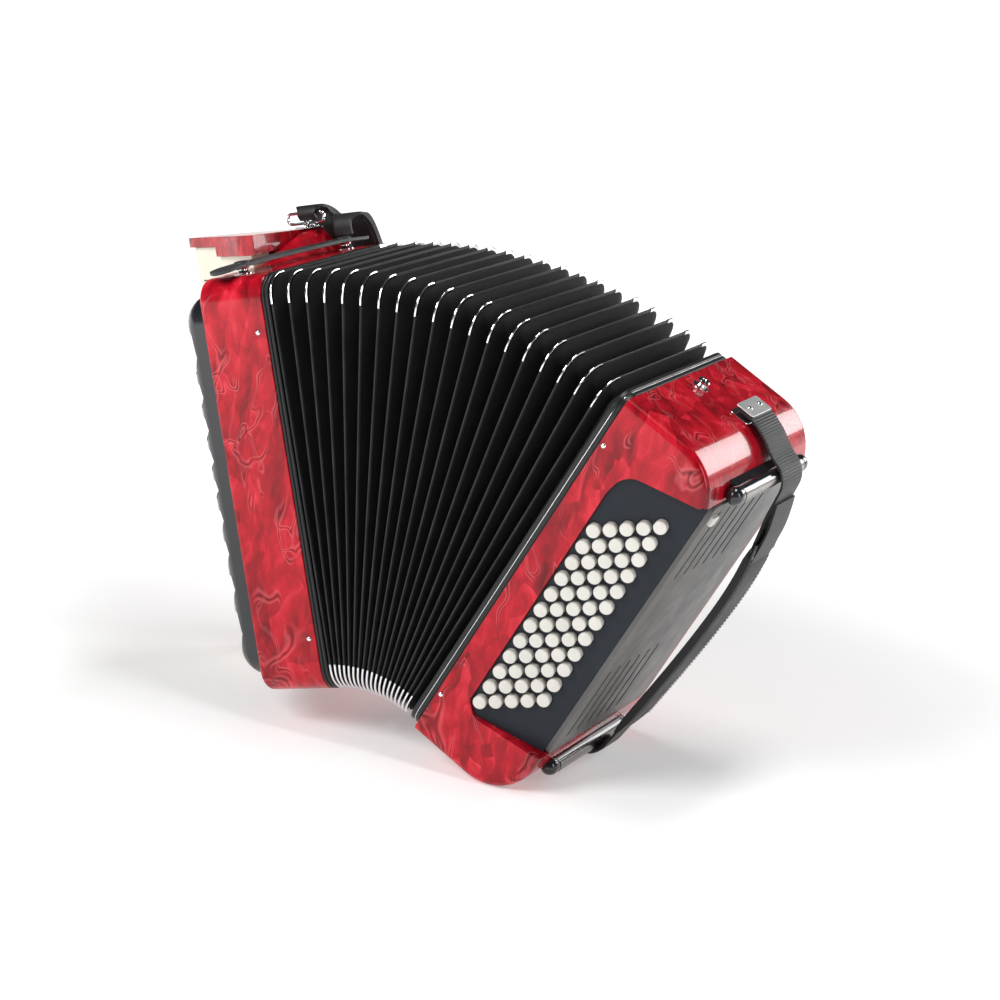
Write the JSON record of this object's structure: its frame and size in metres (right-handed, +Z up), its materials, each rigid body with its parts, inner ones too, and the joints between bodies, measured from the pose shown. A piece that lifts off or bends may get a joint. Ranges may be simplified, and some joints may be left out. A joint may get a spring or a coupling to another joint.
{
  "type": "piano accordion",
  "caption": "Small piano accordion with a fanned-open bellows, standing by itself in a V on its keyboard's foot and its bass case's lower corner.",
  "frame": {"origin": "on the surface that the instrument stands on, under the middle of its bounding box", "axes": "+Z up, +X from the treble side towards the bass side, +Y from the front (the grille and buttons) to the back (the player's side)"},
  "size_m": [0.5582, 0.2328, 0.3798],
  "materials": {
    "red_pearl": "gloss red pearl celluloid",
    "black_plastic": "gloss",
    "bellows_cloth": "black bellows cloth with dark satin edge tape",
    "chrome": "polished",
    "key_cream": "gloss",
    "key_black": "gloss",
    "button_white": "gloss",
    "webbing": "ribbed nylon webbing",
    "leather": "satin black leather",
    "cover_grey": "satin dark grey",
    "board_black": "satin",
    "wood": "plain spruce",
    "steel": "bright"
  },
  "bodies": {
    "treble": {"treble_case": "red_pearl", "treble_bellows_frame": "black_plastic", "treble_grille": "black_plastic", "key_rod": "steel", "keyboard_bed": "red_pearl", "cheek_bottom": "red_pearl", "cheek_top": "red_pearl", "bellows_strap": "leather", "strap_bracket": "chrome", "strap_ring": "chrome", "treble_reed_block": "wood", "shoulder_strap_left": "leather", "shoulder_strap_right": "leather"},
    "bellows_section_1": {"bellows_section_1": "bellows_cloth"},
    "bellows_section_2": {"bellows_section_2": "bellows_cloth"},
    "bellows_section_3": {"bellows_section_3": "bellows_cloth"},
    "bellows_section_4": {"bellows_section_4": "bellows_cloth"},
    "bellows_section_5": {"bellows_section_5": "bellows_cloth"},
    "bellows_section_6": {"bellows_section_6": "bellows_cloth"},
    "bass": {"bass_bellows_frame": "black_plastic", "bass_case": "red_pearl", "bass_cover": "cover_grey", "bass_button_board": "board_black", "bass_strap": "webbing", "bass_strap_bracket": "chrome", "bass_foot_top": "black_plastic", "bass_foot_bottom": "black_plastic", "bass_reed_block": "wood"},
    "key_b3": {"key_b3": "key_cream"},
    "key_c4": {"key_c4": "key_cream"},
    "key_c4_sharp": {"key_c4_sharp": "key_black"},
    "key_d4": {"key_d4": "key_cream"},
    "key_d4_sharp": {"key_d4_sharp": "key_black"},
    "key_e4": {"key_e4": "key_cream"},
    "key_f4": {"key_f4": "key_cream"},
    "key_f4_sharp": {"key_f4_sharp": "key_black"},
    "key_g4": {"key_g4": "key_cream"},
    "key_g4_sharp": {"key_g4_sharp": "key_black"},
    "key_a4": {"key_a4": "key_cream"},
    "key_a4_sharp": {"key_a4_sharp": "key_black"},
    "key_b4": {"key_b4": "key_cream"},
    "key_c5": {"key_c5": "key_cream"},
    "key_c5_sharp": {"key_c5_sharp": "key_black"},
    "key_d5": {"key_d5": "key_cream"},
    "key_d5_sharp": {"key_d5_sharp": "key_black"},
    "key_e5": {"key_e5": "key_cream"},
    "key_f5": {"key_f5": "key_cream"},
    "key_f5_sharp": {"key_f5_sharp": "key_black"},
    "key_g5": {"key_g5": "key_cream"},
    "key_g5_sharp": {"key_g5_sharp": "key_black"},
    "key_a5": {"key_a5": "key_cream"},
    "key_a5_sharp": {"key_a5_sharp": "key_black"},
    "key_b5": {"key_b5": "key_cream"},
    "key_c6": {"key_c6": "key_cream"},
    "counterbass_buttons": {"counterbass_buttons": "button_white"},
    "bass_buttons": {"bass_buttons": "button_white"},
    "major_chord_buttons": {"major_chord_buttons": "button_white"},
    "minor_chord_buttons": {"minor_chord_buttons": "button_white"},
    "seventh_chord_buttons": {"seventh_chord_buttons": "button_white"},
    "air_button": {"air_button": "button_white"}
  },
  "joints": [
    {"name": "bellows_fold_1", "type": "hinge", "parent": "treble", "child": "bellows_section_1", "pos_m": [-0.02858, 0, 0.04165], "axis": [0, 1, 0], "range_deg": [-2.31, 0.5]},
    {"name": "bellows_fold_2", "type": "hinge", "parent": "bellows_section_1", "child": "bellows_section_2", "pos_m": [-0.02088, 0, 0.04314], "axis": [0, 1, 0], "range_deg": [-6.91, 1.5]},
    {"name": "bellows_fold_3", "type": "hinge", "parent": "bellows_section_2", "child": "bellows_section_3", "pos_m": [-0.01106, 0, 0.04412], "axis": [0, 1, 0], "range_deg": [-6.91, 1.5]},
    {"name": "bellows_fold_4", "type": "hinge", "parent": "bellows_section_3", "child": "bellows_section_4", "pos_m": [-0.00118, 0, 0.0439], "axis": [0, 1, 0], "range_deg": [-6.91, 1.5]},
    {"name": "bellows_fold_5", "type": "hinge", "parent": "bellows_section_4", "child": "bellows_section_5", "pos_m": [0.0086, 0, 0.0425], "axis": [0, 1, 0], "range_deg": [-6.91, 1.5]},
    {"name": "bellows_fold_6", "type": "hinge", "parent": "bellows_section_5", "child": "bellows_section_6", "pos_m": [0.01813, 0, 0.03993], "axis": [0, 1, 0], "range_deg": [-6.91, 1.5]},
    {"name": "bellows_draw", "type": "hinge", "parent": "bellows_section_6", "child": "bass", "pos_m": [0.0302, 0, 0.03497], "axis": [0, 1, 0], "range_deg": [-5.75, 1.25]},
    {"name": "key_b3_press", "type": "hinge", "parent": "treble", "child": "key_b3", "pos_m": [-0.14429, 0.00301, 0.19204], "axis": [0.2564, 0, -0.9666], "range_deg": [0, 2.6], "stiffness_Nm_per_rad": 0.3, "springref_deg": -11.46},
    {"name": "key_c4_press", "type": "hinge", "parent": "treble", "child": "key_c4", "pos_m": [-0.14429, 0.00301, 0.19204], "axis": [0.2564, 0, -0.9666], "range_deg": [0, 2.6], "stiffness_Nm_per_rad": 0.3, "springref_deg": -11.46},
    {"name": "key_c4_sharp_press", "type": "hinge", "parent": "treble", "child": "key_c4_sharp", "pos_m": [-0.14429, 0.00301, 0.19204], "axis": [0.2564, 0, -0.9666], "range_deg": [0, 2.6], "stiffness_Nm_per_rad": 0.3, "springref_deg": -11.46},
    {"name": "key_d4_press", "type": "hinge", "parent": "treble", "child": "key_d4", "pos_m": [-0.14429, 0.00301, 0.19204], "axis": [0.2564, 0, -0.9666], "range_deg": [0, 2.6], "stiffness_Nm_per_rad": 0.3, "springref_deg": -11.46},
    {"name": "key_d4_sharp_press", "type": "hinge", "parent": "treble", "child": "key_d4_sharp", "pos_m": [-0.14429, 0.00301, 0.19204], "axis": [0.2564, 0, -0.9666], "range_deg": [0, 2.6], "stiffness_Nm_per_rad": 0.3, "springref_deg": -11.46},
    {"name": "key_e4_press", "type": "hinge", "parent": "treble", "child": "key_e4", "pos_m": [-0.14429, 0.00301, 0.19204], "axis": [0.2564, 0, -0.9666], "range_deg": [0, 2.6], "stiffness_Nm_per_rad": 0.3, "springref_deg": -11.46},
    {"name": "key_f4_press", "type": "hinge", "parent": "treble", "child": "key_f4", "pos_m": [-0.14429, 0.00301, 0.19204], "axis": [0.2564, 0, -0.9666], "range_deg": [0, 2.6], "stiffness_Nm_per_rad": 0.3, "springref_deg": -11.46},
    {"name": "key_f4_sharp_press", "type": "hinge", "parent": "treble", "child": "key_f4_sharp", "pos_m": [-0.14429, 0.00301, 0.19204], "axis": [0.2564, 0, -0.9666], "range_deg": [0, 2.6], "stiffness_Nm_per_rad": 0.3, "springref_deg": -11.46},
    {"name": "key_g4_press", "type": "hinge", "parent": "treble", "child": "key_g4", "pos_m": [-0.14429, 0.00301, 0.19204], "axis": [0.2564, 0, -0.9666], "range_deg": [0, 2.6], "stiffness_Nm_per_rad": 0.3, "springref_deg": -11.46},
    {"name": "key_g4_sharp_press", "type": "hinge", "parent": "treble", "child": "key_g4_sharp", "pos_m": [-0.14429, 0.00301, 0.19204], "axis": [0.2564, 0, -0.9666], "range_deg": [0, 2.6], "stiffness_Nm_per_rad": 0.3, "springref_deg": -11.46},
    {"name": "key_a4_press", "type": "hinge", "parent": "treble", "child": "key_a4", "pos_m": [-0.14429, 0.00301, 0.19204], "axis": [0.2564, 0, -0.9666], "range_deg": [0, 2.6], "stiffness_Nm_per_rad": 0.3, "springref_deg": -11.46},
    {"name": "key_a4_sharp_press", "type": "hinge", "parent": "treble", "child": "key_a4_sharp", "pos_m": [-0.14429, 0.00301, 0.19204], "axis": [0.2564, 0, -0.9666], "range_deg": [0, 2.6], "stiffness_Nm_per_rad": 0.3, "springref_deg": -11.46},
    {"name": "key_b4_press", "type": "hinge", "parent": "treble", "child": "key_b4", "pos_m": [-0.14429, 0.00301, 0.19204], "axis": [0.2564, 0, -0.9666], "range_deg": [0, 2.6], "stiffness_Nm_per_rad": 0.3, "springref_deg": -11.46},
    {"name": "key_c5_press", "type": "hinge", "parent": "treble", "child": "key_c5", "pos_m": [-0.14429, 0.00301, 0.19204], "axis": [0.2564, 0, -0.9666], "range_deg": [0, 2.6], "stiffness_Nm_per_rad": 0.3, "springref_deg": -11.46},
    {"name": "key_c5_sharp_press", "type": "hinge", "parent": "treble", "child": "key_c5_sharp", "pos_m": [-0.14429, 0.00301, 0.19204], "axis": [0.2564, 0, -0.9666], "range_deg": [0, 2.6], "stiffness_Nm_per_rad": 0.3, "springref_deg": -11.46},
    {"name": "key_d5_press", "type": "hinge", "parent": "treble", "child": "key_d5", "pos_m": [-0.14429, 0.00301, 0.19204], "axis": [0.2564, 0, -0.9666], "range_deg": [0, 2.6], "stiffness_Nm_per_rad": 0.3, "springref_deg": -11.46},
    {"name": "key_d5_sharp_press", "type": "hinge", "parent": "treble", "child": "key_d5_sharp", "pos_m": [-0.14429, 0.00301, 0.19204], "axis": [0.2564, 0, -0.9666], "range_deg": [0, 2.6], "stiffness_Nm_per_rad": 0.3, "springref_deg": -11.46},
    {"name": "key_e5_press", "type": "hinge", "parent": "treble", "child": "key_e5", "pos_m": [-0.14429, 0.00301, 0.19204], "axis": [0.2564, 0, -0.9666], "range_deg": [0, 2.6], "stiffness_Nm_per_rad": 0.3, "springref_deg": -11.46},
    {"name": "key_f5_press", "type": "hinge", "parent": "treble", "child": "key_f5", "pos_m": [-0.14429, 0.00301, 0.19204], "axis": [0.2564, 0, -0.9666], "range_deg": [0, 2.6], "stiffness_Nm_per_rad": 0.3, "springref_deg": -11.46},
    {"name": "key_f5_sharp_press", "type": "hinge", "parent": "treble", "child": "key_f5_sharp", "pos_m": [-0.14429, 0.00301, 0.19204], "axis": [0.2564, 0, -0.9666], "range_deg": [0, 2.6], "stiffness_Nm_per_rad": 0.3, "springref_deg": -11.46},
    {"name": "key_g5_press", "type": "hinge", "parent": "treble", "child": "key_g5", "pos_m": [-0.14429, 0.00301, 0.19204], "axis": [0.2564, 0, -0.9666], "range_deg": [0, 2.6], "stiffness_Nm_per_rad": 0.3, "springref_deg": -11.46},
    {"name": "key_g5_sharp_press", "type": "hinge", "parent": "treble", "child": "key_g5_sharp", "pos_m": [-0.14429, 0.00301, 0.19204], "axis": [0.2564, 0, -0.9666], "range_deg": [0, 2.6], "stiffness_Nm_per_rad": 0.3, "springref_deg": -11.46},
    {"name": "key_a5_press", "type": "hinge", "parent": "treble", "child": "key_a5", "pos_m": [-0.14429, 0.00301, 0.19204], "axis": [0.2564, 0, -0.9666], "range_deg": [0, 2.6], "stiffness_Nm_per_rad": 0.3, "springref_deg": -11.46},
    {"name": "key_a5_sharp_press", "type": "hinge", "parent": "treble", "child": "key_a5_sharp", "pos_m": [-0.14429, 0.00301, 0.19204], "axis": [0.2564, 0, -0.9666], "range_deg": [0, 2.6], "stiffness_Nm_per_rad": 0.3, "springref_deg": -11.46},
    {"name": "key_b5_press", "type": "hinge", "parent": "treble", "child": "key_b5", "pos_m": [-0.14429, 0.00301, 0.19204], "axis": [0.2564, 0, -0.9666], "range_deg": [0, 2.6], "stiffness_Nm_per_rad": 0.3, "springref_deg": -11.46},
    {"name": "key_c6_press", "type": "hinge", "parent": "treble", "child": "key_c6", "pos_m": [-0.14429, 0.00301, 0.19204], "axis": [0.2564, 0, -0.9666], "range_deg": [0, 2.6], "stiffness_Nm_per_rad": 0.3, "springref_deg": -11.46},
    {"name": "counterbass_buttons_press", "type": "slide", "parent": "bass", "child": "counterbass_buttons", "axis": [-0.1583, 0.9839, 0.0832], "range_m": [0, 0.003], "stiffness_N_per_m": 200, "springref_m": -0.006},
    {"name": "bass_buttons_press", "type": "slide", "parent": "bass", "child": "bass_buttons", "axis": [-0.1583, 0.9839, 0.0832], "range_m": [0, 0.003], "stiffness_N_per_m": 200, "springref_m": -0.006},
    {"name": "major_chord_buttons_press", "type": "slide", "parent": "bass", "child": "major_chord_buttons", "axis": [-0.1583, 0.9839, 0.0832], "range_m": [0, 0.003], "stiffness_N_per_m": 200, "springref_m": -0.006},
    {"name": "minor_chord_buttons_press", "type": "slide", "parent": "bass", "child": "minor_chord_buttons", "axis": [-0.1583, 0.9839, 0.0832], "range_m": [0, 0.003], "stiffness_N_per_m": 200, "springref_m": -0.006},
    {"name": "seventh_chord_buttons_press", "type": "slide", "parent": "bass", "child": "seventh_chord_buttons", "axis": [-0.1583, 0.9839, 0.0832], "range_m": [0, 0.003], "stiffness_N_per_m": 200, "springref_m": -0.006},
    {"name": "air_button_press", "type": "slide", "parent": "bass", "child": "air_button", "axis": [-0.8851, 0, 0.4653], "range_m": [0, 0.003], "stiffness_N_per_m": 200, "springref_m": -0.006}
  ],
  "couplings": [
    {"joint": "bellows_fold_1", "follows": "bellows_draw", "ratio": 0.4},
    {"joint": "bellows_fold_2", "follows": "bellows_draw", "ratio": 1.2},
    {"joint": "bellows_fold_3", "follows": "bellows_draw", "ratio": 1.2},
    {"joint": "bellows_fold_4", "follows": "bellows_draw", "ratio": 1.2},
    {"joint": "bellows_fold_5", "follows": "bellows_draw", "ratio": 1.2},
    {"joint": "bellows_fold_6", "follows": "bellows_draw", "ratio": 1.2}
  ]
}
